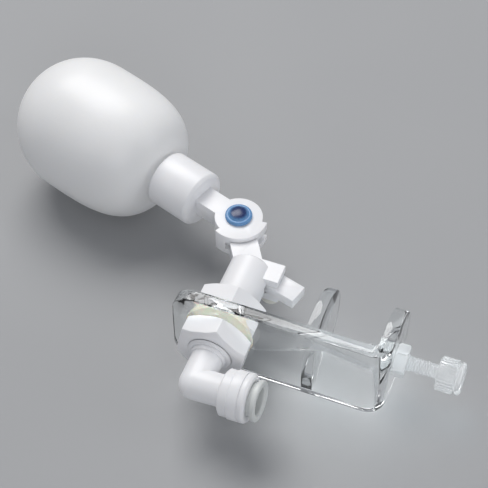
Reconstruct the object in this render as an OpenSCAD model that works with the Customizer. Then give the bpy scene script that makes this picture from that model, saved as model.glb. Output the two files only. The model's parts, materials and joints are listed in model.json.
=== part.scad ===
// Float valve for the rim of a tank, lying on the long edge of its clamp bracket.
// X runs along the bracket from the valve to the clamp screw, Y runs along the
// valve from the inlet elbow to the float side, and Z runs across the bracket.
// The origin is on the bracket's inner face, in the middle of the clamp gap.

/* [Bracket] */
// Thickness of the bracket sheet
sheet_t = 5; // [4:0.5:6.5]
// Width of the bracket across Z
bracket_w = 35; // [32:0.5:44]
// From the valve axis to the near face of the stop tab
valve_to_stop = 31.6; // [29:0.2:40]
// Thickness of the glued stop tab
stop_t = 4.2; // [3:0.1:6]
// Clear gap between the stop tab and the bent tab
clamp_gap = 21.6; // [18:0.2:27]
// Height of both tabs above the inner face
tab_h = 26.9; // [24:0.1:34]
// Inner radius of the heat bend
bend_r = 2; // [1:0.5:3]
// Corner radius of the bracket's valve end
corner_r = 8; // [3:0.5:12]

/* [Clamp screw] */
// Outer radius of the screw thread
screw_r = 3; // [2.5:0.25:3.5]
// Pitch of the screw thread
screw_pitch = 1; // [0.8:0.1:1.25]
// Length of the thread from its tip to the head
screw_len = 25; // [24:0.5:35]
// How far the tip stands inside the bent tab
tip_reach = 4.5; // [2:0.25:6]
// Radius of the knurled head
knob_r = 6.3; // [5.5:0.1:8]
// Length of the knurled head
knob_len = 9.5; // [8:0.5:14]
// Distance across the flats of the clear nut
clamp_nut_af = 10.8; // [9:0.2:13]
// Thickness of the clear nut
clamp_nut_t = 4.5; // [3:0.25:6]

/* [Valve body] */
// Outer radius of the threaded stem
stem_r = 8.3; // [7.9:0.05:9]
// Pitch of the stem thread
stem_pitch = 1.34; // [1:0.02:1.8]
// How far the stem end stands out of the lock nut
stem_out = 1; // [0.5:0.25:2.5]
// Distance across the flats of the lock nut and the flange
flange_af = 24.4; // [23:0.2:27]
// Thickness of the lock nut
lock_nut_t = 7.7; // [6:0.1:9]
// Thickness of the hexagon flange
flange_t = 8.6; // [6:0.1:10]
// Thickness of the sealing washer
washer_t = 1.6; // [1:0.1:2.5]
// Turn of the hexagons about the valve axis, in degrees
hex_turn = 19.4; // [0:0.2:60]
// Outer radius of the round barrel
barrel_r = 8.2; // [7.6:0.1:9]
// Height of the barrel's end above the inner face
barrel_end = 30; // [29:0.25:33]
// Width of the slanted neck
neck_w = 10.5; // [9:0.1:12]
// Radius of the inlet passage
passage_r = 2.8; // [2:0.1:3.2]

/* [Pivot and arm] */
// Pivot offset from the valve axis, towards the float
pivot_dx = 12.1; // [11:0.1:13.5]
// Pivot height above the bracket's inner face
pivot_y = 46.7; // [45:0.1:50]
// Rise of the float arm from the bracket's plane, in degrees
arm_angle = 18.4; // [10:0.2:26]
// Height of the arm's mid-plane along Z
arm_z = 1.5; // [1:0.1:2]
// Thickness of the arm along Z
arm_t = 8; // [7.4:0.1:9]
// Width of the arm's bar
arm_w = 8.8; // [7:0.1:10]
// Radius of the arm's round eye
eye_r = 9.2; // [8.5:0.1:10]
// Radius of the cam sector on the eye
cam_r = 11.2; // [10.4:0.1:11.6]
// Radius of the pivot pin
pin_r = 2.5; // [2:0.1:3]
// Radius of the pin's domed head
pin_head_r = 5.2; // [4.5:0.1:6]
// Height of the pin's domed head
pin_head_h = 2.7; // [2:0.1:3.5]
// Plunger travel for each degree of arm swing
travel_per_deg = 0.0163; // [0.012:0.0001:0.02]

/* [Float] */
// From the pivot to the cap's near face
cap_at = 18; // [16:0.25:22]
// Length of the screw cap
cap_len = 19; // [15:0.25:24]
// Outer radius of the screw cap
cap_r = 11.2; // [10.6:0.1:13]
// Outer radius of the float's neck
float_neck_r = 8.6; // [8.2:0.1:9]
// From the pivot to the float's widest ring
float_at = 79.8; // [76:0.25:90]
// Radius of the float
float_r = 27.85; // [22:0.25:32]
// Length of the float's far half
float_far = 28.7; // [22:0.25:34]
// Length of the float's near half
float_near = 41; // [37:0.25:42]
// Wall of the blown float
float_wall = 1.2; // [0.8:0.1:2]

/* [Inlet elbow] */
// Outer radius of the elbow's pipe
elbow_r = 5.85; // [5.2:0.05:6.3]
// Radius of the elbow's spigot in the valve stem
spigot_r = 6.6; // [6.3:0.05:7]
// From the bracket's inner face down to the elbow's outlet axis
elbow_drop = 26; // [24.5:0.25:30]
// Radius of the tube socket
socket_r = 8.95; // [8.4:0.05:10]
// Start of the socket, from the valve axis
socket_at = 11; // [10:0.25:13]
// Length of the socket, without its end ring
socket_len = 8; // [7.6:0.1:10]
// Turn of the elbow about the valve axis, in degrees
elbow_turn = 5; // [0:1:20]
// Radius of the bore that takes the tube
tube_bore_r = 4.8; // [4:0.05:5.2]
// Radius of the release collet's flange
collet_flange_r = 7.5; // [6.9:0.1:8.2]
// Travel of the release collet
collet_travel = 1.2; // [0.6:0.1:1.5]

/* [Side cock] */
// Spindle offset from the valve axis
cock_dx = 8.8; // [8:0.1:9.4]
// Spindle height above the inner face
cock_y = 26.6; // [25.5:0.1:27.5]
// Radius of the spindle
spindle_r = 2.6; // [2.2:0.1:2.8]
// Length of the lever from the spindle axis
lever_len = 12.6; // [10:0.1:16]
// Width of the lever
lever_w = 8; // [6.5:0.1:9]
// Thickness of the lever
lever_t = 4.7; // [4:0.1:5]
// Direction of the lever below the X axis, in degrees
lever_angle = 16; // [0:1:25]

/* [Hidden] */
$fn = 64;

clear = 0.05;             // running clearance on a radius
seat_gap = 0.02;          // clearance of pieces that don't move on each other
eps = 0.01;               // overshoot of a cut

half_w = bracket_w / 2;
stop_x = -clamp_gap / 2;              // the stop tab's clamping face
end_x = clamp_gap / 2;                // the bent tab's inner face
valve_x = stop_x - stop_t - valve_to_stop;
plate_end_x = valve_x - half_w;
bend_out = bend_r + sheet_t;
tab_mid_y = tab_h - half_w;           // centre of a tab's round end

screw_tip_x = end_x - tip_reach;
tip_t = 1.2;                          // thickness of the screw's thrust tip
tip_stub_r = 1.2;
tip_stub_len = 2;
tap_r = screw_r + clear;
knob_grooves = 28;
slot_w = 1.6;                         // screwdriver slot in the knob's end
slot_depth = 1.5;

stem_end_y = -sheet_t - lock_nut_t - stem_out;
flange_y = washer_t + flange_t;
spigot_len = -stem_end_y - 1;
spigot_top_y = stem_end_y + spigot_len;

pivot_x = valve_x - pivot_dx;
neck_foot_y = 27;                     // where the plunger axis meets the valve axis
neck_angle = atan2(neck_foot_y - pivot_y, pivot_dx);
neck_len = norm([pivot_dx, pivot_y - neck_foot_y]);
neck_top = 3.4;
neck_bottom = -7.8;
notch_r = cam_r + 0.4;
arm_bottom = arm_z - arm_t / 2;
arm_top = arm_z + arm_t / 2;
ear_top = arm_bottom - 0.15;
ear_r = 8;
cam_from = -121;                      // the cam sector's two ends, world angles at rest
cam_to = 5;
cam_drop = 1.7;                       // how far the cam's rim hangs below the eye

rod_r = 1.5;                          // plunger rod
bore_r = 2.4;                         // plunger bore
groove_half = 1.7;                    // half height of the cam groove
groove_r = 8.6;                       // groove floor under the rod at rest
rod_gap = 0.3;
rod_end = groove_r + rod_gap;
head_at = 14.5;
seal_at = 18.6;
seal_t = 1.6;
nozzle_at = seal_at + seal_t + 0.42;
nozzle_base_at = nozzle_at + 2.2;
bore_end = nozzle_base_at + 2;
orifice_r = 0.7;

pin_bottom = neck_bottom - 2.4;
clip_t = 1.2;

cap_wall = 2.2;
arm_flange_t = 2;
gasket_t = 1.2;
spigot_arm_r = 3.6;
neck_start = cap_at + cap_wall + arm_flange_t + gasket_t;
cap_bore_r = float_neck_r + 0.1;

socket_bore_r = 7;
tube_stop_at = socket_at + 1.4;
oring_r = 1.05;                       // cross-section radius of the tube o-ring
flow_r = 3.4;
socket_end = socket_at + socket_len;
ring_len = 2.4;
collet_barrel_r = 6.2;
collet_in = socket_at + 5.6;          // past the o-ring, with room for the press
collet_flange_at = socket_end + ring_len + collet_travel + 0.5;
collet_flange_t = 1.7;
grab_at = collet_in + 0.8;
grab_r = collet_barrel_r - 0.6;
grab_t = 0.4;

cock_x = valve_x + cock_dx;
cheek_top = 4.6;
slot_top = 1.3;
slot_bottom = slot_top - lever_t - 0.3;
cheek_bottom = -7.4;
spindle_head_r = 3.9;
spindle_head_t = 2.9;
spindle_top = cheek_top - 1.1;        // the upper cheek closes over the spindle
cock_ring_r = 0.42;                   // cross-section radius of the spindle's o-ring
outlet_z = (slot_bottom + cheek_bottom) / 2;
outlet_r = 1.1;
cock_ring_z = cheek_bottom + 0.65;
cheek_end_x = cock_x + 3.8;
cheek_y0 = cock_y - 3.9;
cheek_y1 = cock_y + 4.6;

// Turns a shape's own Z to world +Y, on the valve axis
module on_valve(y = 0) { translate([valve_x, y, 0]) rotate([-90, 0, 0]) children(); }

// Turns a shape's own Z to world +X, at the height of the clamp screw
module on_screw(x) { translate([x, tab_mid_y, 0]) rotate([0, 90, 0]) children(); }

// Puts a flat outline into the YZ plane, with its thickness along +X
module across(x) { translate([x, 0, 0]) rotate([90, 0, 90]) children(); }

// The arm's frame: X along the arm from the pivot to the float
module on_arm() { translate([pivot_x, pivot_y, arm_z]) rotate([0, 0, 180 - arm_angle]) children(); }

// The arm's length as a shape's own Z
module along_arm(s) { on_arm() translate([s, 0, 0]) rotate([0, 90, 0]) children(); }

// The neck's frame: X along the neck from the pivot to the valve axis
module on_neck() { translate([pivot_x, pivot_y, 0]) rotate([0, 0, neck_angle]) children(); }

// The neck's length as a shape's own Z
module along_neck(t) { on_neck() translate([t, 0, 0]) rotate([0, 90, 0]) children(); }

// The outlet of the elbow: X along the socket
module on_elbow() { translate([valve_x, -elbow_drop, 0]) rotate([0, -elbow_turn, 0]) children(); }

// The socket's length as a shape's own Z
module along_socket(x) { on_elbow() translate([x, 0, 0]) rotate([0, 90, 0]) children(); }

// The vertical spindle of the side cock
module on_cock(z) { translate([cock_x, cock_y, z]) children(); }

// A ring between two radii
module ring(outer, inner, h) {
    difference() {
        cylinder(r = outer, h = h);
        translate([0, 0, -eps]) cylinder(r = inner, h = h + 2 * eps);
    }
}

// A rod with thread ridges along its whole length
module threaded_rod(r, pitch, length) {
    depth = 0.55 * pitch;
    turns = floor(length / pitch);
    step = length / turns;
    ridges = [for (i = [0:turns - 1], k = [0, 1])
        k == 0 ? [r - depth, i * step + 0.06 * step] : [r, (i + 0.5) * step]];
    rotate_extrude() polygon(concat([[0, 0], [r - depth, 0]], ridges,
        [[r - depth, length], [0, length]]));
}

// A hexagon nut blank with its corners turned off at one end
module hexagon(af, h, turn = 0) {
    corner = af / sqrt(3);
    intersection() {
        rotate(turn) cylinder(r = corner, h = h, $fn = 6);
        union() {
            cylinder(r1 = af / 2 + 0.2, r2 = corner + 0.1, h = 1);
            translate([0, 0, 1]) cylinder(r = corner + 0.1, h = h - 2);
            translate([0, 0, h - 1]) cylinder(r1 = corner + 0.1, r2 = af / 2 + 0.2, h = 1);
        }
    }
}

// An o-ring lying on its side plane
module oring(mid_r, section_r) {
    rotate_extrude() translate([mid_r, 0]) circle(r = section_r, $fn = 24);
}

// A tab's outline: a straight foot with a semicircular end
module tab_outline(foot) {
    intersection() {
        union() {
            translate([foot, -half_w]) square([tab_mid_y - foot, bracket_w]);
            translate([tab_mid_y, 0]) circle(r = half_w, $fn = 96);
        }
        translate([foot, -half_w]) square([tab_h, bracket_w]);
    }
}

// The plate's outline, with two round corners at the valve end
module plate_outline() {
    difference() {
        translate([plate_end_x, -half_w]) square([end_x - bend_r - plate_end_x, bracket_w]);
        for (side = [-1, 1]) translate([plate_end_x, side * half_w]) difference() {
            square(2 * corner_r, center = true);
            translate([corner_r, -side * corner_r]) circle(r = corner_r);
        }
    }
}

// ---- bracket ----

module bracket_plate() {
    color([0.85, 0.92, 0.95, 0.4]) difference() {
        union() {
            rotate([90, 0, 0]) linear_extrude(sheet_t) plate_outline();
            translate([end_x - bend_r, bend_r, -half_w]) intersection() {
                difference() {
                    cylinder(r = bend_out, h = bracket_w);
                    translate([0, 0, -eps]) cylinder(r = bend_r, h = bracket_w + 2 * eps);
                }
                translate([0, -bend_out, 0]) cube([bend_out, bend_out, bracket_w]);
            }
            across(end_x) linear_extrude(sheet_t) tab_outline(bend_r);
        }
        on_valve(-sheet_t - eps) cylinder(r = stem_r + 0.2, h = sheet_t + 2 * eps);
        on_screw(end_x - eps) cylinder(r = tap_r, h = sheet_t + 2 * eps);
    }
}

module stop_tab() {
    color([0.85, 0.92, 0.95, 0.4]) across(stop_x - stop_t) linear_extrude(stop_t) tab_outline(0);
}

module clamp_screw() {
    color([0.88, 0.92, 0.94, 0.5]) on_screw(screw_tip_x) difference() {
        union() {
            threaded_rod(screw_r, screw_pitch, screw_len);
            translate([0, 0, screw_len]) knob();
        }
        translate([0, 0, -eps]) cylinder(r = tip_stub_r + seat_gap, h = tip_stub_len + 0.3);
    }
}

// The knurled thumb head, with a stepped and slotted end
module knob() {
    grip = knob_len - 2.6;
    difference() {
        union() {
            cylinder(r1 = knob_r - 0.5, r2 = knob_r, h = 0.6);
            translate([0, 0, 0.6]) cylinder(r = knob_r, h = grip - 0.6);
            translate([0, 0, grip]) cylinder(r = knob_r - 0.7, h = 0.7);
            translate([0, 0, grip + 0.7]) cylinder(r1 = knob_r - 0.2, r2 = knob_r - 0.9, h = 1.9);
        }
        for (i = [0:knob_grooves - 1]) rotate(i * 360 / knob_grooves)
            translate([knob_r + 0.1, 0, -eps]) cylinder(r = 0.45, h = grip + 0.02, $fn = 16);
        translate([-knob_r, -slot_w / 2, knob_len - slot_depth])
            cube([2 * knob_r, slot_w, slot_depth + eps]);
    }
}

module screw_tip() {
    color([0.93, 0.94, 0.94]) on_screw(screw_tip_x) union() {
        translate([0, 0, -tip_t]) cylinder(r1 = screw_r - 0.9, r2 = screw_r - 0.4, h = 0.4);
        translate([0, 0, 0.4 - tip_t]) cylinder(r = screw_r - 0.4, h = tip_t - 0.4);
        cylinder(r = tip_stub_r, h = tip_stub_len);
    }
}

module clamp_nut() {
    color([0.88, 0.92, 0.94, 0.5]) on_screw(end_x + sheet_t) difference() {
        hexagon(clamp_nut_af, clamp_nut_t, 12);
        translate([0, 0, -eps]) cylinder(r = tap_r, h = clamp_nut_t + 2 * eps);
    }
}

// ---- valve body ----

module lock_nut() {
    color("white") on_valve(-sheet_t - lock_nut_t) difference() {
        hexagon(flange_af, lock_nut_t, -hex_turn);
        translate([0, 0, -eps]) cylinder(r = stem_r + clear, h = lock_nut_t + 2 * eps);
    }
}

module sealing_washer() {
    color([0.93, 0.9, 0.74]) on_valve(0) ring(flange_af / 2 + 0.9, stem_r + clear, washer_t);
}

module valve_body() {
    color("white") difference() {
        union() {
            on_valve(stem_end_y)
                threaded_rod(stem_r, stem_pitch, washer_t - stem_end_y);
            on_valve(washer_t) hexagon(flange_af, flange_t, -hex_turn);
            on_valve(flange_y) cylinder(r = barrel_r, h = barrel_end - flange_y - 1.5);
            on_valve(barrel_end - 1.5) cylinder(r1 = barrel_r, r2 = barrel_r - 1.5, h = 1.5);
            neck();
            translate([pivot_x, pivot_y, neck_bottom]) cylinder(r = ear_r, h = ear_top - neck_bottom);
            cock_block();
        }
        translate([pivot_x, pivot_y, ear_top]) cylinder(r = notch_r, h = 2 * arm_t);
        translate([pivot_x, pivot_y, ear_top - cam_drop]) ring(notch_r, ear_r + eps, 2 * cam_drop);
        translate([pivot_x, pivot_y, neck_bottom - eps])
            cylinder(r = pin_r + seat_gap, h = ear_top - neck_bottom + 2 * eps);
        on_valve(stem_end_y - eps) cylinder(r = spigot_r + clear, h = spigot_len + eps);
        on_valve(spigot_top_y - eps) cylinder(r = passage_r, h = neck_foot_y - spigot_top_y);
        along_neck(ear_r) cylinder(r = bore_r + clear, h = bore_end - ear_r);
        outlet_passage();
        cock_cuts();
    }
}

// The slanted neck from the barrel to the ear
module neck() {
    start = pin_r + 1;
    on_neck() translate([start, -neck_w / 2, neck_bottom])
        cube([neck_len + 1 - start, neck_w, neck_top - neck_bottom]);
}

// The two cheeks of the side cock
module cock_block() {
    translate([valve_x + 2, cheek_y0, cheek_bottom])
        cube([cheek_end_x - valve_x - 2, cheek_y1 - cheek_y0, cheek_top - cheek_bottom]);
}

// The slot for the lever and the bore for the spindle
module cock_cuts() {
    slot_x = cock_x - lever_w / 2 - 0.3;
    translate([slot_x, cheek_y0 - 2, slot_bottom])
        cube([lever_w + 10, cheek_y1 - cheek_y0 + 4, slot_top - slot_bottom]);
    on_cock(cheek_bottom - eps)
        cylinder(r = spindle_r + clear, h = spindle_top - cheek_bottom + 2 * clear);
}

// From the plunger's chamber through the spindle to the outlet mouth
module outlet_passage() {
    translate([valve_x + 2, cock_y, outlet_z]) rotate([0, 90, 0])
        cylinder(r = outlet_r, h = cheek_end_x - valve_x);
    translate([valve_x + 2.6, cock_y, outlet_z]) cylinder(r = outlet_r, h = -outlet_z);
}

module seat_nozzle() {
    color([0.85, 0.84, 0.8]) along_neck(nozzle_at) difference() {
        union() {
            cylinder(r1 = 1.2, r2 = 1.7, h = 0.8);
            translate([0, 0, 0.8]) cylinder(r = 1.7, h = nozzle_base_at - nozzle_at - 0.8);
            translate([0, 0, nozzle_base_at - nozzle_at])
                cylinder(r = bore_r + clear - seat_gap, h = bore_end - nozzle_base_at - 0.6);
        }
        translate([0, 0, -eps]) cylinder(r = orifice_r, h = bore_end);
    }
}

module nozzle_seal() {
    color([0.15, 0.15, 0.15]) along_neck(bore_end - 0.6) ring(bore_r, orifice_r + 0.5, 0.6);
}

// ---- plunger ----

module plunger() {
    color([0.92, 0.92, 0.9]) along_neck(rod_end) difference() {
        union() {
            cylinder(r1 = rod_r - 0.3, r2 = rod_r, h = 0.4);
            translate([0, 0, 0.4]) cylinder(r = rod_r, h = head_at - rod_end - 0.4);
            translate([0, 0, head_at - rod_end]) cylinder(r = bore_r, h = seal_at - head_at);
        }
        translate([0, 0, head_at - rod_end + 1.2]) ring(bore_r + 1, bore_r - 0.5, 0.9);
    }
}

module plunger_seal() {
    color([0.12, 0.12, 0.12]) along_neck(seal_at) cylinder(r = bore_r - 0.3, h = seal_t);
}

// ---- pivot ----

module pivot_pin() {
    head_z = arm_top + 0.1;
    dome_r = (pin_head_r * pin_head_r + pin_head_h * pin_head_h) / (2 * pin_head_h);
    color([0.1, 0.3, 0.65, 0.85]) translate([pivot_x, pivot_y, 0]) union() {
        translate([0, 0, pin_bottom]) cylinder(r = pin_r, h = head_z - pin_bottom);
        translate([0, 0, head_z]) intersection() {
            cylinder(r = pin_head_r, h = pin_head_h + 1);
            translate([0, 0, pin_head_h - dome_r]) sphere(r = dome_r, $fn = 96);
        }
    }
}

module pin_clip() {
    color([0.75, 0.76, 0.78]) translate([pivot_x, pivot_y, neck_bottom - clip_t])
        ring(pin_r + 1.9, pin_r + seat_gap, clip_t);
}

module float_arm() {
    bar_end = cap_at;
    color("white") difference() {
        union() {
            translate([pivot_x, pivot_y, arm_bottom]) cylinder(r = eye_r, h = arm_t);
            cam_sector() cylinder(r = cam_r, h = arm_t);
            translate([0, 0, -cam_drop]) cam_sector() ring(cam_r, ear_r + 0.4, cam_drop + eps);
            on_arm() translate([0, -arm_w / 2, -arm_t / 2]) cube([bar_end, arm_w, arm_t]);
            along_arm(cap_at - eps) cylinder(r = spigot_arm_r, h = cap_wall + 2 * eps);
            along_arm(cap_at + cap_wall) cylinder(r = float_neck_r, h = arm_flange_t);
        }
        translate([pivot_x, pivot_y, arm_bottom - eps])
            cylinder(r = pin_r + clear, h = arm_t + 2 * eps);
        translate([pivot_x, pivot_y, -groove_half]) linear_extrude(2 * groove_half) cam_groove();
    }
}

// Keeps the sector of a round shape that faces the neck
module cam_sector() {
    reach = 2 * cam_r;
    sector = concat([[0, 0]], [for (i = [0:6])
        let (a = cam_from + i * (cam_to - cam_from) / 6) reach * [cos(a), sin(a)]]);
    translate([pivot_x, pivot_y, arm_bottom]) intersection() {
        children();
        linear_extrude(arm_t) polygon(sector);
    }
}

// The groove that the plunger's rod end rides in: its floor rises with the arm's swing
module cam_groove() {
    open = 24;
    swing_up = 38;
    swing_down = 78;
    steps = 24;
    function floor_r(swing) = groove_r + travel_per_deg * swing;
    from = neck_angle - swing_up;
    to = neck_angle + swing_down;
    floor_points = [for (i = [0:steps])
        let (a = from + i * (to - from) / steps) floor_r(neck_angle - a) * [cos(a), sin(a)]];
    rim_points = [for (i = [steps:-1:0])
        let (a = from + i * (to - from) / steps) open * [cos(a), sin(a)]];
    polygon(concat(floor_points, rim_points));
}

// ---- float ----

module float_cap() {
    color("white") along_arm(cap_at) difference() {
        union() {
            cylinder(r1 = cap_r - 1.2, r2 = cap_r, h = 1.2);
            translate([0, 0, 1.2]) cylinder(r = cap_r, h = cap_len - 1.8);
            translate([0, 0, cap_len - 0.6]) cylinder(r1 = cap_r, r2 = cap_r - 0.4, h = 0.6);
        }
        translate([0, 0, -eps]) cylinder(r = spigot_arm_r + clear, h = cap_wall + 2 * eps);
        translate([0, 0, cap_wall]) cylinder(r = cap_bore_r, h = cap_len);
    }
}

module cap_gasket() {
    color([0.2, 0.2, 0.2]) along_arm(neck_start - gasket_t) cylinder(r = float_neck_r, h = gasket_t);
}

// One quarter of the float's outline: a superellipse of the given length and power
function quarter(length, radius, power, sign, n = 16) = [for (i = [0:n])
    let (a = 90 * i / n)
    [radius * pow(cos(a), 2 / power), sign * length * pow(sin(a), 2 / power)]];

// The far end is an ellipse and the near end has a squarer shoulder
function egg(inset) =
    let (near = quarter(float_near - inset, float_r - inset, 3.4, -1),
         far = quarter(float_far - inset, float_r - inset, 2.1, 1))
    concat([for (i = [len(near) - 1:-1:1]) near[i]], far);

module float_shell() {
    neck_r = float_neck_r - 0.6;
    neck_from = neck_start - float_at;
    neck_to = 4 - float_near;
    color([0.97, 0.97, 0.96]) along_arm(float_at) difference() {
        union() {
            rotate_extrude($fn = 96) polygon(egg(0));
            translate([0, 0, neck_from]) threaded_rod(float_neck_r, 2, neck_to - neck_from);
        }
        rotate_extrude($fn = 96) polygon(egg(float_wall));
        translate([0, 0, neck_from - eps]) cylinder(r = neck_r - 1.6, h = neck_to - neck_from + 2);
    }
}

// ---- inlet elbow ----

module elbow_body() {
    color("white") difference() {
        union() {
            on_valve(-elbow_drop) cylinder(r = elbow_r, h = elbow_drop + stem_end_y);
            on_valve(stem_end_y - 1.4) cylinder(r = spigot_r, h = 1.4 + spigot_len - clear);
            on_elbow() sphere(r = elbow_r);
            along_socket(0) cylinder(r = elbow_r, h = socket_at + 0.5);
            along_socket(socket_at) socket();
        }
        on_valve(-elbow_drop) cylinder(r = flow_r, h = elbow_drop + 5);
        along_socket(0) cylinder(r = flow_r, h = tube_stop_at + eps);
        on_elbow() sphere(r = flow_r);
        along_socket(tube_stop_at) cylinder(r = socket_bore_r, h = socket_len + eps);
        on_valve(stem_end_y + spigot_len - 5) ring(spigot_r + 1, spigot_r - 1.2, 2.2);
    }
}

// The stepped socket that holds the tube's seal and collet
module socket() {
    cylinder(r1 = socket_r - 1.4, r2 = socket_r - 0.45, h = 0.8);
    translate([0, 0, 0.8]) cylinder(r = socket_r - 0.45, h = 2.8);
    translate([0, 0, 3.6]) cylinder(r1 = socket_r - 0.45, r2 = socket_r, h = 0.4);
    translate([0, 0, 4]) cylinder(r = socket_r, h = socket_len - 4.4);
    translate([0, 0, socket_len - 0.4]) cylinder(r = socket_r - 0.4, h = 0.4);
}

module stem_oring() {
    color([0.12, 0.12, 0.12]) on_valve(stem_end_y + spigot_len - 3.9)
        oring(spigot_r - 0.6, 0.55);
}

module socket_ring() {
    color([0.94, 0.94, 0.93]) along_socket(socket_end) difference() {
        union() {
            cylinder(r = socket_r, h = ring_len - 0.9);
            translate([0, 0, ring_len - 0.9])
                cylinder(r1 = socket_r, r2 = socket_r - 0.7, h = 0.9);
            translate([0, 0, -2.2]) cylinder(r = socket_bore_r - seat_gap, h = 2.2 + eps);
        }
        translate([0, 0, -2.2 - eps]) cylinder(r = collet_barrel_r + clear, h = ring_len + 3);
    }
}

module tube_oring() {
    color([0.12, 0.12, 0.12]) along_socket(tube_stop_at + oring_r + clear)
        oring(tube_bore_r + oring_r + clear, oring_r);
}

module grab_ring() {
    color([0.7, 0.72, 0.75]) along_socket(grab_at)
        ring(grab_r, tube_bore_r + seat_gap, grab_t);
}

module collet() {
    inner = collet_flange_at + collet_flange_t - collet_in;
    color([0.88, 0.89, 0.88]) along_socket(collet_in) difference() {
        union() {
            cylinder(r = collet_barrel_r, h = inner - 0.5);
            translate([0, 0, inner - collet_flange_t])
                cylinder(r = collet_flange_r, h = collet_flange_t - 0.4);
            translate([0, 0, inner - 0.4])
                cylinder(r1 = collet_flange_r, r2 = collet_flange_r - 0.4, h = 0.4);
        }
        translate([0, 0, -eps]) cylinder(r = tube_bore_r, h = inner + 2 * eps);
        translate([0, 0, grab_at - collet_in - seat_gap])
            cylinder(r = grab_r + seat_gap, h = grab_t + 2 * seat_gap);
        translate([0, 0, inner - 0.8])
            cylinder(r1 = tube_bore_r, r2 = tube_bore_r + 0.82, h = 0.8 + eps);
    }
}

// ---- side cock ----

module cock_spindle() {
    head_bottom = cheek_bottom - clear - spindle_head_t;
    color([0.86, 0.85, 0.8]) on_cock(head_bottom) difference() {
        union() {
            cylinder(r1 = spindle_head_r - 0.6, r2 = spindle_head_r, h = 0.6);
            translate([0, 0, 0.6]) cylinder(r = spindle_head_r, h = spindle_head_t - 0.6);
            cylinder(r = spindle_r, h = spindle_top - head_bottom);
        }
        translate([-5, 0, outlet_z - head_bottom]) rotate([0, 90, 0])
            cylinder(r = outlet_r, h = 10);
        translate([0, 0, cock_ring_z - cock_ring_r - clear - head_bottom])
            ring(spindle_r + clear, spindle_r - 2 * cock_ring_r, 2 * (cock_ring_r + clear));
    }
}

module cock_lever() {
    color("white") translate([cock_x, cock_y, slot_top - lever_t - 0.15]) difference() {
        union() {
            cylinder(r = lever_w / 2, h = lever_t);
            rotate(-lever_angle) translate([0, -lever_w / 2, 0])
                cube([lever_len, lever_w, lever_t]);
        }
        translate([0, 0, -eps]) cylinder(r = spindle_r + seat_gap, h = lever_t + 2 * eps);
    }
}

module spindle_oring() {
    color([0.12, 0.12, 0.12]) on_cock(cock_ring_z)
        oring(spindle_r - cock_ring_r + clear / 2, cock_ring_r);
}

bracket_plate();
stop_tab();
clamp_screw();
screw_tip();
clamp_nut();
lock_nut();
sealing_washer();
valve_body();
seat_nozzle();
nozzle_seal();
plunger();
plunger_seal();
pivot_pin();
pin_clip();
float_arm();
float_cap();
cap_gasket();
float_shell();
elbow_body();
stem_oring();
socket_ring();
tube_oring();
grab_ring();
collet();
cock_spindle();
cock_lever();
spindle_oring();
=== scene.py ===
# %% [markdown]
# A float valve on a clear clamp bracket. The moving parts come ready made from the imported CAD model,
# which is loaded first and never moved. This notebook gives every piece its rounded edges, its fine
# shapes and its finish, and then lights the valve on a plain floor.

# %% Load the frame
import json
import math

import bpy
from mathutils import Matrix, Vector


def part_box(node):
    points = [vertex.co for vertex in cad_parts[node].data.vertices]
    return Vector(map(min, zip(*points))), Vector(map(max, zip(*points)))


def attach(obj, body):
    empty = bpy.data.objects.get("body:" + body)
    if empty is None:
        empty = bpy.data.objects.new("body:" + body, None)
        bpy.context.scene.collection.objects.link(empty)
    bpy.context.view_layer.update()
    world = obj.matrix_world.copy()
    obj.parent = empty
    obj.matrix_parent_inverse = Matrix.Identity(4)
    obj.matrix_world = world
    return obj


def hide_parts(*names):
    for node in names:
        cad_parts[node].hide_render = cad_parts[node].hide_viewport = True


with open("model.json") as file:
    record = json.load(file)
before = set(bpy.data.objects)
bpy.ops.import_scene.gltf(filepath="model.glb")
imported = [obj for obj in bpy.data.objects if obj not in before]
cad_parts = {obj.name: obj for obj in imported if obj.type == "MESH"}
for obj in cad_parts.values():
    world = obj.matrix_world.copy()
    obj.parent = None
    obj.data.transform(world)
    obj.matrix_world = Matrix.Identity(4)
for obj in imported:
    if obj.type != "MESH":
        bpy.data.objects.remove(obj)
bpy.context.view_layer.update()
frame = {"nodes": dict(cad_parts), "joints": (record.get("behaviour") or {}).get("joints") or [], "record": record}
joints = {joint["name"]: joint for joint in frame["joints"]}
mm = 0.001

# %% [markdown]
# The camera is set first, because each finish is judged from where the picture is taken. It looks
# down on the long edge of the bracket from the elbow's side, with a long lens, so that the float and
# the elbow keep nearly the same scale.

# %% Camera
view_azimuth = math.radians(21.52)
view_elevation = math.radians(50.83)
view_roll = math.radians(0.28)
view_distance = 0.5124
lens_mm = 98.9
aim = Vector((-0.0542, 0.0406, -0.0022))


def view_axes(azimuth, elevation, roll):
    """The camera's own X, Y and Z directions."""
    back = Vector((math.sin(azimuth) * math.cos(elevation),
                   -math.cos(azimuth) * math.cos(elevation), math.sin(elevation)))
    right = Vector((math.cos(azimuth), math.sin(azimuth), 0))
    turn = Matrix.Rotation(-roll, 3, back)
    return turn @ right, turn @ back.cross(right), back


right, up, back = view_axes(view_azimuth, view_elevation, view_roll)
camera_data = bpy.data.cameras.new("camera")
camera_data.lens = lens_mm
camera_data.sensor_width = 36
camera_data.clip_start = 0.01
camera = bpy.data.objects.new("camera", camera_data)
camera.matrix_world = Matrix((right, up, back)).transposed().to_4x4()
camera.location = aim + back * view_distance
bpy.context.scene.collection.objects.link(camera)
bpy.context.scene.camera = camera

# %% [markdown]
# The valve rests on the float and on the lower edge of the bracket's bent tab. The float is fatter
# than the bracket is wide, so in the bracket's own frame the floor slopes a few degrees. The slope
# is worked out from the two CAD boxes.

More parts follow.
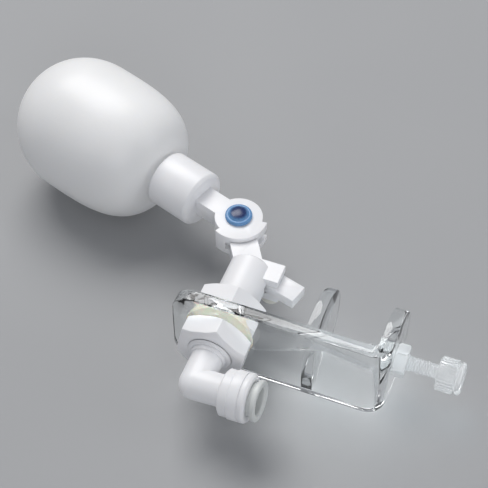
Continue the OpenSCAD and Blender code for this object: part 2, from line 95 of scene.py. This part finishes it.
# %% Floor
float_low, float_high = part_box("float_shell")
plate_low, plate_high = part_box("bracket_plate")
float_mid = (float_low + float_high) / 2
float_radius = (float_high.z - float_low.z) / 2
run = plate_high.x - float_mid.x
rise = plate_low.z - float_mid.z
slope = 0.0
for _ in range(8):
    slope = math.atan2(float_radius / math.cos(slope) + rise, run)
floor_gap = 0.15 * mm
bpy.ops.mesh.primitive_plane_add(size=4)
floor = bpy.context.active_object
floor.name = "floor"
floor.data.transform(Matrix.Translation((plate_high.x, 0, plate_low.z - floor_gap))
                     @ Matrix.Rotation(-slope, 4, "Y"))
print("floor slope in degrees", round(math.degrees(slope), 2))

# %% [markdown]
# Small helpers keep the modelling cells short. Everything is deselected before a new primitive is
# added, faces and edges are selected by their place, and a finished piece has its place in its mesh.

# %% Modelling helpers
def begin(obj, kind="VERT"):
    """Makes obj the only selected object, in edit mode, with kind as what is selected there."""
    bpy.context.tool_settings.mesh_select_mode = [kind == k for k in ("VERT", "EDGE", "FACE")]
    bpy.ops.object.select_all(action="DESELECT")
    bpy.context.view_layer.objects.active = obj
    obj.select_set(True)
    bpy.ops.object.mode_set(mode="EDIT")


def end():
    bpy.ops.object.mode_set(mode="OBJECT")


def place(obj, matrix):
    """Puts a piece where it belongs, with its place in its mesh."""
    obj.data.transform(matrix)
    obj.matrix_world = Matrix.Identity(4)
    obj.data.update()


def apply_modifier(obj, kind, **settings):
    bpy.ops.object.select_all(action="DESELECT")
    bpy.context.view_layer.objects.active = obj
    obj.select_set(True)
    modifier = obj.modifiers.new(kind.lower(), kind)
    for name, value in settings.items():
        setattr(modifier, name, value)
    bpy.ops.object.modifier_apply(modifier=modifier.name)


def smooth(obj, degrees=32):
    bpy.ops.object.select_all(action="DESELECT")
    bpy.context.view_layer.objects.active = obj
    obj.select_set(True)
    bpy.ops.object.shade_smooth_by_angle(angle=math.radians(degrees))


def turned(name, stations, segments=96):
    """A turned piece along +Z: a ring of edges is extruded and resized from station to station."""
    point = 1e-6
    (z, r), rest = stations[0], stations[1:]
    r = max(r, point)
    bpy.ops.object.select_all(action="DESELECT")
    bpy.ops.mesh.primitive_circle_add(vertices=segments, radius=r, location=(0, 0, z))
    obj = bpy.context.active_object
    obj.name = name
    bpy.ops.object.transform_apply(location=True)
    begin(obj)
    bpy.ops.mesh.select_all(action="SELECT")
    for next_z, next_r in rest:
        next_r = max(next_r, point)
        bpy.ops.mesh.extrude_edges_move(TRANSFORM_OT_translate={"value": (0, 0, next_z - z)})
        bpy.ops.transform.resize(value=(next_r / r, next_r / r, 1), center_override=(0, 0, next_z))
        z, r = next_z, next_r
    bpy.ops.mesh.select_all(action="SELECT")
    bpy.ops.mesh.remove_doubles(threshold=2e-6)
    bpy.ops.mesh.normals_make_consistent(inside=False)
    end()
    return obj


def faceless(obj):
    """How many edges of a mesh don't have exactly two faces."""
    uses = {}
    for polygon in obj.data.polygons:
        for key in polygon.edge_keys:
            uses[key] = uses.get(key, 0) + 1
    return sum(1 for count in uses.values() if count != 2)


def frame_along(origin, direction, side=Vector((0, 0, 1))):
    """A matrix that takes +Z to direction and puts the origin at origin."""
    z = Vector(direction).normalized()
    x = side.cross(z).normalized()
    rotation = Matrix((x, z.cross(x), z)).transposed().to_4x4()
    return Matrix.Translation(origin) @ rotation


def finish_piece(obj, body, *nodes):
    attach(obj, body)
    if nodes:
        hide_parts(*nodes)
    print(obj.name, len(obj.data.polygons), "faces, open edges", faceless(obj))


# %% [markdown]
# Most pieces have their true shape already, but a CAD edge is perfectly sharp and catches no light.
# A moulded or sawn edge is slightly round. So each of these nodes is copied, its loose triangles are
# merged, its flat faces are joined again, and a narrow bevel rounds every hard edge.

# %% Rounded copies of CAD nodes
node_body = {node: body for body, nodes in frame["record"]["behaviour"]["bodies"].items()
             for node in nodes}


def rounded(node, width, segments=2, sharp=32):
    source = frame["nodes"][node]
    obj = bpy.data.objects.new(node + "_shape", source.data.copy())
    bpy.context.scene.collection.objects.link(obj)
    obj.data.materials.clear()
    begin(obj)
    bpy.ops.mesh.select_all(action="SELECT")
    bpy.ops.mesh.customdata_custom_splitnormals_clear()
    bpy.ops.mesh.remove_doubles(threshold=2e-6)
    bpy.ops.mesh.dissolve_limited(angle_limit=math.radians(0.5))
    end()
    apply_modifier(obj, "BEVEL", width=width * mm, segments=segments, limit_method="ANGLE",
                   angle_limit=math.radians(sharp), use_clamp_overlap=True)
    smooth(obj, sharp)
    finish_piece(obj, node_body[node], node)
    return obj


edge_rounding = {
    "bracket_plate": 0.3, "stop_tab": 0.3, "clamp_nut": 0.15, "lock_nut": 0.3,
    "sealing_washer": 0.25, "valve_body": 0.18, "float_arm": 0.3, "float_cap": 0.25,
    "elbow_body": 0.15, "socket_ring": 0.15, "collet": 0.15, "cock_lever": 0.4,
    "cock_spindle": 0.15,
}
shapes = {node: rounded(node, width) for node, width in edge_rounding.items()}

# %% [markdown]
# The washer, the nuts and the stop tab lie face to face with the clear sheet. Two faces at one place
# confuse the light that passes through the sheet, so the faces that touch it stand off by a hair,
# as they do on a real one, where a film of air or glue lies between.

# %% Hairline gaps at the clear sheet
film = 0.04 * mm
sheet_faces = [(1, 0.0, 1), (1, plate_low.y, -1), (0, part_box("clamp_nut")[0].x, 1)]
for node in ("stop_tab", "sealing_washer", "lock_nut", "clamp_nut"):
    for vertex in shapes[node].data.vertices:
        for axis, level, side in sheet_faces:
            if abs(vertex.co[axis] - level) < 1e-6:
                vertex.co[axis] += side * film

# %% [markdown]
# The float is one blown shell. On the real one a parting line runs round it, where the two halves of
# the mould met, and the far end has a small pinch mark. It is turned from rings of edges, and its
# length and radius are measured on the CAD node along the arm.

# %% Arm frame and float
pivot = Vector(joints["arm_pivot"]["pos_m"])
arm_vertices = [v.co for v in frame["nodes"]["float_shell"].data.vertices]
float_centre = sum(arm_vertices, Vector()) / len(arm_vertices)
arm_direction = Vector((float_centre.x - pivot.x, float_centre.y - pivot.y, 0)).normalized()


def measured(node, origin, direction):
    """Lowest and highest place along an axis, and the largest radius about it."""
    points = [v.co - origin for v in frame["nodes"][node].data.vertices]
    along = [p.dot(direction) for p in points]
    radii = [(p - p.dot(direction) * direction).length for p in points]
    return min(along), max(along), max(radii)


float_start, float_end, float_r = measured("float_shell", pivot, arm_direction)
far_length = 28.7 * mm
near_length = 41 * mm
widest = float_end - far_length
neck_r = 8.6 * mm


def superellipse(length, radius, power, sign, count):
    """Stations from the widest ring to the pole of one half of the float."""
    rows = []
    for i in range(count + 1):
        a = math.radians(90 * i / count)
        rows.append((widest + sign * length * math.sin(a) ** (2 / power),
                     radius * math.cos(a) ** (2 / power) if i < count else 0.0))
    return rows


near_half = superellipse(near_length, float_r, 3.4, -1, 40)
far_half = superellipse(far_length, float_r, 2.1, 1, 36)
shoulder = [row for row in reversed(near_half) if row[1] > neck_r + 0.4 * mm]
neck = [(float_start, neck_r - 1.6 * mm), (float_start, neck_r - 0.3 * mm),
        (float_start + 0.3 * mm, neck_r), (shoulder[0][0] - 0.8 * mm, neck_r)]
outside = neck + shoulder + far_half[1:-2]
pinch = [(float_end - 0.05 * mm, 2.1 * mm), (float_end + 0.0 * mm, 1.6 * mm),
         (float_end - 0.25 * mm, 1.2 * mm), (float_end - 0.3 * mm, 0.0)]
float_ball = turned("float_ball", outside + pinch, 128)
begin(float_ball)
bpy.ops.mesh.select_all(action="DESELECT")
end()
for edge in float_ball.data.edges:
    ends = [float_ball.data.vertices[i].co for i in edge.vertices]
    edge.select = all(abs(p.z - float_start) < 1e-6 and abs(p.xy.length - neck[0][1]) < 1e-5
                      for p in ends)
begin(float_ball, "EDGE")
bpy.ops.mesh.edge_face_add()
bpy.ops.mesh.normals_make_consistent(inside=False)
end()
place(float_ball, frame_along(pivot, arm_direction))
smooth(float_ball, 50)
finish_piece(float_ball, "float", "float_shell")

# %% [markdown]
# The clamp screw is turned and threaded from clear plastic. A thread is one ridge that climbs by its
# pitch at each turn, so a single tooth profile is swept by the Screw modifier, and both ends are then
# cut flat. The head's straight knurl is a ring of narrow faces, every other one pushed in. Thread and
# head are joined to one solid, with a small bore in its end for the tip.

# %% Clamp screw
screw_axis = Vector(joints["screw_turn"]["pos_m"])
x_dir = Vector((1, 0, 0))
tip_x, knob_end_x, knob_r = measured("clamp_screw", Vector((0, screw_axis.y, screw_axis.z)), x_dir)
pitch = 1.0 * mm
thread_r = 3.0 * mm
thread_depth = 0.55 * mm
knob_start = min(v.co.x for v in frame["nodes"]["clamp_screw"].data.vertices
                 if (v.co.yz - screw_axis.yz).length > thread_r + 1 * mm)
thread_len = knob_start - tip_x
turn_steps = 40
root = 1 * mm           # how far the thread runs into the head, so that the two join

bpy.ops.object.select_all(action="DESELECT")
bpy.ops.mesh.primitive_plane_add(size=1 * mm)
thread = bpy.context.active_object
thread.name = "screw_thread"
crest_play = 0.06 * mm
root_r = thread_r - thread_depth
crest_r = thread_r - crest_play
tooth = [(root_r, -0.5), (root_r, -0.38), (crest_r, -0.06), (crest_r, 0.06), (root_r, 0.38),
         (root_r, 0.5)]
begin(thread)
bpy.ops.mesh.select_all(action="SELECT")
bpy.ops.mesh.merge(type="CENTER")
bpy.ops.transform.translate(value=(root_r, 0, -0.5 * pitch))
for (r, z), (next_r, next_z) in zip(tooth, tooth[1:]):
    step = (next_r - r, 0, (next_z - z) * pitch)
    bpy.ops.mesh.extrude_vertices_move(TRANSFORM_OT_translate={"value": step})
end()
apply_modifier(thread, "SCREW", axis="Z", angle=math.tau, screw_offset=pitch,
               iterations=round(thread_len / pitch) + 2, steps=turn_steps, render_steps=turn_steps,
               use_merge_vertices=True, merge_threshold=1e-6)
begin(thread)
bpy.ops.mesh.select_all(action="SELECT")
bpy.ops.mesh.remove_doubles(threshold=1e-6)
bpy.ops.mesh.bisect(plane_co=(0, 0, pitch), plane_no=(0, 0, 1), clear_inner=True)
bpy.ops.mesh.select_all(action="SELECT")
bpy.ops.mesh.bisect(plane_co=(0, 0, pitch + thread_len + root), plane_no=(0, 0, 1),
                    clear_outer=True)
bpy.ops.mesh.select_all(action="SELECT")
bpy.ops.mesh.fill_holes(sides=0)
bpy.ops.mesh.select_all(action="SELECT")
bpy.ops.mesh.normals_make_consistent(inside=False)
end()
place(thread, frame_along((tip_x, screw_axis.y, screw_axis.z), x_dir)
      @ Matrix.Translation((0, 0, -pitch)))

knob_len = knob_end_x - knob_start
grip = knob_len - 2.6 * mm
knurls = 32
touch = 0.04 * mm       # keeps the head's face off the nut's when the screw is all the way in
knurl_depth = 0.42 * mm
knurl_edge = 0.12 * mm
slot_w = 1.6 * mm
slot_depth = 1.5 * mm
tip_bore_r = 1.24 * mm
tip_bore_end = 0.3 * mm
knob = turned("screw_knob", [
    (touch, 0), (touch, knob_r - 0.9 * mm), (0.25 * mm, knob_r - 0.35 * mm), (0.6 * mm, knob_r),
    (grip - 0.3 * mm, knob_r), (grip, knob_r - 0.35 * mm), (grip + 0.05 * mm, knob_r - 0.8 * mm),
    (grip + 0.65 * mm, knob_r - 0.8 * mm), (grip + 0.7 * mm, knob_r - 0.45 * mm),
    (grip + 1.0 * mm, knob_r - 0.2 * mm), (grip + 1.9 * mm, knob_r - 0.35 * mm),
    (knob_len - 0.3 * mm, knob_r - 0.8 * mm), (knob_len, knob_r - 1.4 * mm),
    (knob_len, 0)], 2 * knurls)
for polygon in knob.data.polygons:
    side_on = abs(polygon.normal.z) < 0.2 and polygon.center.xy.length > knob_r - 0.2 * mm
    number = round(math.atan2(polygon.center.y, polygon.center.x) / math.tau * 2 * knurls - 0.5)
    polygon.select = side_on and polygon.center.z < grip and number % 2 == 0
begin(knob, "FACE")
bpy.ops.mesh.inset(thickness=knurl_edge, use_individual=True)
bpy.ops.mesh.extrude_faces_move(TRANSFORM_OT_shrink_fatten={"value": -knurl_depth})
end()
print("knurl floor", round(min(p.center.xy.length for p in knob.data.polygons if p.select) / mm, 2))
bpy.ops.object.select_all(action="DESELECT")
bpy.ops.mesh.primitive_cube_add(size=1, location=(0, 0, knob_len))
cutter = bpy.context.active_object
cutter.scale = (3 * knob_r, slot_w, 2 * slot_depth)
apply_modifier(knob, "BOOLEAN", object=cutter, operation="DIFFERENCE", solver="EXACT")
bpy.data.objects.remove(cutter)
apply_modifier(knob, "BEVEL", width=0.07 * mm, segments=1, limit_method="ANGLE",
               angle_limit=math.radians(40), use_clamp_overlap=True)
place(knob, frame_along((knob_start, screw_axis.y, screw_axis.z), x_dir))

stub_low, stub_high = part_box("screw_tip")
bore_end = stub_high.x - tip_x + tip_bore_end
hole = turned("hole", [(-root, 0), (-root, tip_bore_r), (bore_end, tip_bore_r), (bore_end, 0)], 32)
place(hole, frame_along((tip_x, screw_axis.y, screw_axis.z), x_dir))
apply_modifier(knob, "BOOLEAN", object=thread, operation="UNION", solver="MANIFOLD")
apply_modifier(knob, "BOOLEAN", object=hole, operation="DIFFERENCE", solver="MANIFOLD")
bpy.data.objects.remove(thread)
bpy.data.objects.remove(hole)
knob.name = "clamp_screw_shape"
smooth(knob, 35)
finish_piece(knob, "clamp_screw", "clamp_screw")

# %% [markdown]
# The pivot pin shows as a domed head of deep blue plastic. Its face is stepped: a rounded rim, a
# shallow ring, and a raised inner lens. A plain dome would have a single highlight, so the steps are
# turned as stations of the head.

# %% Pivot pin
pin_low, pin_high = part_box("pivot_pin")
pin_head_r = (pin_high.x - pin_low.x) / 2
pin_top = pin_high.z
head_h = 2.7 * mm
pin_r = 2.5 * mm
pin = turned("pin_shape", [
    (pin_low.z, 0), (pin_low.z, pin_r - 0.3 * mm), (pin_low.z + 0.3 * mm, pin_r),
    (pin_top - head_h, pin_r), (pin_top - head_h, pin_head_r - 0.3 * mm),
    (pin_top - head_h + 0.25 * mm, pin_head_r), (pin_top - 1.9 * mm, pin_head_r),
    (pin_top - 1.55 * mm, pin_head_r - 0.12 * mm), (pin_top - 1.3 * mm, pin_head_r - 0.4 * mm),
    (pin_top - 1.15 * mm, pin_head_r - 0.8 * mm), (pin_top - 1.2 * mm, pin_head_r - 1.15 * mm),
    (pin_top - 1.0 * mm, pin_head_r - 1.35 * mm), (pin_top - 0.72 * mm, pin_head_r - 1.65 * mm),
    (pin_top - 0.4 * mm, pin_head_r - 2.4 * mm), (pin_top - 0.15 * mm, pin_head_r - 3.4 * mm),
    (pin_top - 0.03 * mm, pin_head_r - 4.4 * mm), (pin_top, 0)])
place(pin, Matrix.Translation((pivot.x, pivot.y, 0)))
smooth(pin, 50)
finish_piece(pin, "valve", "pivot_pin")

# %% [markdown]
# Finishes are written as node trees. A small class wraps a socket, so that shader maths reads like
# ordinary Python: adding, subtracting or multiplying two wires adds the Math node that does it.

# %% Shader maths
class Wire:
    """An output socket that can be used in a Python expression."""

    def __init__(self, tree, socket):
        self.tree = tree
        self.socket = socket

    def maths(self, operation, first, second=None):
        node = self.tree.nodes.new("ShaderNodeMath")
        node.operation = operation
        for slot, value in zip(node.inputs, (first, second)):
            if isinstance(value, Wire):
                self.tree.links.new(value.socket, slot)
            elif value is not None:
                slot.default_value = value
        return Wire(self.tree, node.outputs[0])

    def __add__(self, other):
        return self.maths("ADD", self, other)

    __radd__ = __add__

    def __sub__(self, other):
        return self.maths("SUBTRACT", self, other)

    def __rsub__(self, other):
        return self.maths("SUBTRACT", other, self)

    def __mul__(self, other):
        return self.maths("MULTIPLY", self, other)

    __rmul__ = __mul__

    def smoothstep(self, low, high):
        """0 below low, 1 above high, and a soft turn between them."""
        node = self.tree.nodes.new("ShaderNodeMapRange")
        node.interpolation_type = "SMOOTHSTEP"
        self.tree.links.new(self.socket, node.inputs["Value"])
        node.inputs["From Min"].default_value = low
        node.inputs["From Max"].default_value = high
        return Wire(self.tree, node.outputs["Result"])


class Finish:
    """A material with a Principled shader, and the nodes that feed it."""

    def __init__(self, name, **sockets):
        self.material = bpy.data.materials.new(name)
        self.material.use_nodes = True
        self.tree = self.material.node_tree
        self.shader = self.tree.nodes["Principled BSDF"]
        for socket, value in sockets.items():
            self.shader.inputs[socket.replace("_", " ")].default_value = value

    def node(self, kind, settings=None, output=0, **inputs):
        """Any node: its settings first, then values or wires for its sockets."""
        made = self.tree.nodes.new(kind)
        for name, value in (settings or {}).items():
            setattr(made, name, value)
        for name, value in inputs.items():
            self.feed(made.inputs[name.replace("_", " ")], value)
        return Wire(self.tree, made.outputs[output])

    def feed(self, socket, value):
        if isinstance(value, Wire):
            self.tree.links.new(value.socket, socket)
        else:
            socket.default_value = value

    def into(self, socket, value):
        self.feed(self.shader.inputs[socket], value)

    def place(self):
        return self.node("ShaderNodeTexCoord", output="Object")

    def centred(self, centre, scale=(1, 1, 1), turn=(0, 0, 0)):
        """Object coordinates moved to a centre, turned and scaled."""
        moved = self.node("ShaderNodeVectorMath", {"operation": "SUBTRACT"})
        self.tree.links.new(self.place().socket, moved.socket.node.inputs[0])
        moved.socket.node.inputs[1].default_value = centre
        return self.node("ShaderNodeMapping", Vector=moved, Rotation=turn, Scale=scale)

    def noise(self, size, detail=3.0, rough=0.5, vector=None):
        """Noise whose lumps are about size metres across."""
        return self.node("ShaderNodeTexNoise", Vector=vector or self.place(), Scale=1 / size,
                         Detail=detail, Roughness=rough)

    def blend(self, factor, first, second):
        node = self.tree.nodes.new("ShaderNodeMix")
        node.data_type = "RGBA"
        self.feed(node.inputs[0], factor)
        for socket, value in ((node.inputs[6], first), (node.inputs[7], second)):
            self.feed(socket, value)
        return Wire(self.tree, node.outputs[2])

    def bump(self, height, strength, distance, below=None):
        wires = {"Height": height, "Strength": strength, "Distance": distance}
        if below is not None:
            wires["Normal"] = below
        return self.node("ShaderNodeBump", **wires)

    def let_lamps_through(self):
        """Rays from the lamps pass straight on, so that what lies behind clear plastic stays lit."""
        mix = self.tree.nodes.new("ShaderNodeMixShader")
        self.feed(mix.inputs["Fac"], self.node("ShaderNodeLightPath", output="Is Shadow Ray"))
        self.tree.links.new(self.shader.outputs["BSDF"], mix.inputs[1])
        self.feed(mix.inputs[2], self.node("ShaderNodeBsdfTransparent", Color=rgb(0.9, 0.92, 0.93)))
        self.tree.links.new(mix.outputs[0], self.tree.nodes["Material Output"].inputs["Surface"])


def rgb(r, g, b):
    return (r, g, b, 1.0)


# %% [markdown]
# The white pieces are moulded acetal. It is a little translucent and slightly glossy, with a very
# fine grain from the mould and broad, faint changes of gloss where the melt flowed. A few pale marks
# of handling keep it from looking like paint.

# %% White plastic
def moulded(name, light, dark, rough, grain, glow=0.12, flow=9 * mm):
    made = Finish(name, IOR=1.48, Subsurface_Weight=glow, Subsurface_Scale=1.5 * mm)
    made.shader.inputs["Subsurface Radius"].default_value = (1.0, 0.9, 0.8)
    broad = made.noise(flow, 2.0)
    fine = made.noise(0.35 * mm, 4.0, 0.6)
    scuff = made.noise(2.2 * mm, 6.0, 0.7).smoothstep(0.6, 0.72)
    made.into("Base Color", made.blend(broad * 0.7 + fine * 0.3, dark, light))
    made.into("Roughness", broad * 0.12 + fine * 0.1 + scuff * 0.12 + (rough - 0.1))
    grained = made.bump(fine, 0.25, grain)
    made.into("Normal", made.bump(broad, 0.2, 0.3 * mm, grained))
    return made


mould_grain = 0.02 * mm
white_plastic = moulded("white_plastic", rgb(0.93, 0.93, 0.94), rgb(0.885, 0.885, 0.9), 0.34, mould_grain)
grey_plastic = moulded("grey_plastic", rgb(0.74, 0.76, 0.74), rgb(0.64, 0.66, 0.65), 0.36, mould_grain)
ivory_plastic = moulded("ivory_plastic", rgb(0.8, 0.79, 0.72), rgb(0.72, 0.71, 0.65), 0.38, mould_grain)

# %% [markdown]
# The float is blown polyethylene: softer and waxier than the valve, with a gentle orange peel. The
# mould's parting line runs along it as a hair-thin ridge, and light reaches a little way into the
# thin wall.

# %% Float plastic
def float_finish():
    made = Finish("float_plastic", IOR=1.5, Subsurface_Weight=0.25, Subsurface_Scale=3 * mm)
    made.shader.inputs["Subsurface Radius"].default_value = (1.0, 0.95, 0.85)
    peel = made.noise(1.6 * mm, 3.0)
    cloud = made.noise(16 * mm, 2.0)
    fine = made.noise(0.3 * mm, 4.0, 0.6)
    angle = math.atan2(arm_direction.y, arm_direction.x)
    local = made.centred(pivot, turn=(0, 0, -angle))
    across = made.node("ShaderNodeSeparateXYZ", output="Y", Vector=local)
    line = across.maths("ABSOLUTE", across)
    ridge = 1 - line.smoothstep(0.06 * mm, 0.28 * mm)
    made.into("Base Color", made.blend(cloud * 0.8 + fine * 0.2, rgb(0.89, 0.89, 0.885),
                                       rgb(0.935, 0.935, 0.93)))
    made.into("Roughness", peel * 0.1 + fine * 0.08 + 0.3)
    peeled = made.bump(peel, 0.18, 0.12 * mm)
    grained = made.bump(fine, 0.15, 0.02 * mm, peeled)
    made.into("Normal", made.bump(ridge, 0.25, 0.08 * mm, grained))
    return made


float_plastic = float_finish()

# %% [markdown]
# The bracket is cast acrylic with polished edges. Clear sheet is seen by its reflections and by what
# lies on it, so faint wiping marks and specks of dust change its gloss, and a trace of tint shows
# where light travels far inside it.

# %% Clear plastics
def clear(name, tint, rough, marks, ior=1.49):
    made = Finish(name, IOR=ior, Transmission_Weight=1.0, Base_Color=tint)
    wiped = made.noise(1.0, 5.0, 0.65, made.centred((0, 0, 0), scale=(90, 90, 900), turn=(0.3, 0, 0.5)))
    specks = made.noise(0.5 * mm, 2.0).smoothstep(0.72, 0.78)
    made.into("Roughness", wiped.smoothstep(0.5, 0.8) * marks + specks * 0.2 + rough)
    made.into("Base Color", made.blend(specks, tint, rgb(0.8, 0.82, 0.83)))
    made.into("Normal", made.bump(wiped, 0.08, 0.02 * mm))
    return made


clear_acrylic = clear("clear_acrylic", rgb(0.975, 0.99, 0.992), 0.012, 0.05)
clear_acrylic.let_lamps_through()


def cloudy_nylon():
    made = Finish("clear_nylon", IOR=1.5, Transmission_Weight=0.72)
    cloud = made.noise(3 * mm, 3.0)
    fine = made.noise(0.25 * mm, 3.0)
    made.into("Base Color", made.blend(cloud, rgb(0.92, 0.94, 0.945), rgb(0.985, 0.99, 0.99)))
    made.into("Roughness", fine * 0.08 + cloud * 0.05 + 0.01)
    made.into("Normal", made.bump(fine, 0.1, 0.02 * mm))
    made.let_lamps_through()
    return made


clear_nylon = cloudy_nylon()

# %% [markdown]
# The pin's head is translucent blue. Its colour is painted nearly black in the middle, as painted shade where it
# is thick and nothing lights it from behind, and paler towards its rim, as painted light through the thin edge.

# %% Blue pin
def blue_finish():
    made = Finish("blue_plastic", IOR=1.5, Subsurface_Weight=0.1, Subsurface_Scale=0.6 * mm)
    local = made.centred((pivot.x, pivot.y, 0), scale=(1, 1, 0))
    radius = made.node("ShaderNodeVectorMath", {"operation": "LENGTH"}, output="Value", Vector=local)
    cloud = made.noise(1.2 * mm, 3.0)
    # painted shade and light by radius: the base colour goes nearly black in the thick middle and pales towards
    # the thin rim
    painted_rim_light = (radius + cloud * 0.6 * mm).smoothstep(2.6 * mm, 4.4 * mm)
    made.into("Base Color", made.blend(painted_rim_light, rgb(0.012, 0.03, 0.12), rgb(0.13, 0.3, 0.56)))
    made.into("Roughness", cloud * 0.1 + 0.22)
    made.into("Normal", made.bump(made.noise(0.8 * mm, 2.0), 0.06, 0.05 * mm))
    return made


blue_plastic = blue_finish()

# %% [markdown]
# Seals are soft: silicone is waxy and lets some light through, and nitrile rubber is nearly black
# with a dry, powdery bloom. The clips and the grab ring are stamped stainless steel, brushed one way.

# %% Seals and steel
def rubber(name, light, dark, glow):
    made = Finish(name, IOR=1.45, Subsurface_Weight=glow, Subsurface_Scale=1 * mm)
    bloom = made.noise(1.4 * mm, 5.0, 0.65)
    fine = made.noise(0.15 * mm, 2.0)
    made.into("Base Color", made.blend(bloom.smoothstep(0.35, 0.7), dark, light))
    made.into("Roughness", bloom * 0.2 + fine * 0.1 + 0.4)
    made.into("Normal", made.bump(fine, 0.3, 0.02 * mm))
    return made


def brushed_steel():
    made = Finish("steel", Metallic=1.0, Base_Color=rgb(0.66, 0.67, 0.69))
    brush = made.noise(1.0, 4.0, 0.6, made.centred((0, 0, 0), scale=(300, 6000, 300)))
    made.into("Base Color", made.blend(brush, rgb(0.56, 0.57, 0.59), rgb(0.74, 0.75, 0.77)))
    made.into("Roughness", brush * 0.2 + 0.22)
    made.into("Normal", made.bump(brush, 0.1, 0.01 * mm))
    return made


cream_silicone = rubber("cream_silicone", rgb(0.93, 0.91, 0.76), rgb(0.88, 0.85, 0.68), 0.5)
black_rubber = rubber("black_rubber", rgb(0.05, 0.05, 0.052), rgb(0.02, 0.02, 0.021), 0.0)
steel = brushed_steel()

# %% Give every piece its finish
finishes = {
    "white_plastic": white_plastic, "grey_plastic": grey_plastic, "ivory_plastic": ivory_plastic,
    "float_plastic": float_plastic, "clear_acrylic": clear_acrylic, "clear_nylon": clear_nylon,
    "blue_plastic": blue_plastic, "cream_silicone": cream_silicone, "black_rubber": black_rubber,
    "steel": steel,
}
slot_of = {row["node"]: row["material_slot"] for row in frame["record"]["subparts"]}


def paint(obj, slot):
    obj.data.materials.clear()
    obj.data.materials.append(finishes[slot].material)


for node, obj in frame["nodes"].items():
    obj.data.materials.clear()
    obj.data.materials.append(finishes[slot_of[node]].material)
for node, obj in shapes.items():
    paint(obj, slot_of[node])
for obj, node in ((float_ball, "float_shell"), (knob, "clamp_screw"), (pin, "pivot_pin")):
    paint(obj, slot_of[node])

# %% [markdown]
# The light is that of a small studio table: one wide soft box above and behind on the float's side,
# weaker ones in front and on the right, and a pale room. Clear plastic needs bright areas to reflect,
# so the boxes are large and near.

# %% Floor finish and light
def floor_finish():
    made = Finish("floor_grey")
    grain = made.noise(0.8 * mm, 4.0)
    broad = made.noise(150 * mm, 2.0)
    made.into("Base Color", made.blend(broad, rgb(0.36, 0.365, 0.375), rgb(0.4, 0.405, 0.41)))
    made.into("Roughness", grain * 0.1 + 0.6)
    made.into("Normal", made.bump(grain, 0.05, 0.05 * mm))
    return made


floor.data.materials.append(floor_finish().material)


def soft_box(name, location, target, size, power, colour=(1, 1, 1)):
    data = bpy.data.lights.new(name, "AREA")
    data.shape = "RECTANGLE"
    data.size, data.size_y = size
    data.energy = power
    data.color = colour
    obj = bpy.data.objects.new(name, data)
    obj.matrix_world = frame_along(location, Vector(location) - Vector(target))
    bpy.context.scene.collection.objects.link(obj)


middle = Vector((-0.05, 0.03, 0))
soft_box("key_light", (-0.55, 0.6, 1.05), middle, (0.9, 0.7), 11.5, (1, 0.99, 0.98))
soft_box("front_light", (0.3, -0.8, 0.55), middle, (0.7, 0.5), 2.2, (0.97, 0.98, 1))
soft_box("right_light", (0.9, 0.15, 0.4), middle, (0.4, 0.7), 1.8, (0.97, 0.98, 1))
world = bpy.data.worlds.new("room")
world.use_nodes = True
world.node_tree.nodes["Background"].inputs["Color"].default_value = rgb(0.9, 0.93, 1.0)
world.node_tree.nodes["Background"].inputs["Strength"].default_value = 0.3
bpy.context.scene.world = world
bpy.context.scene.view_settings.view_transform = "Standard"
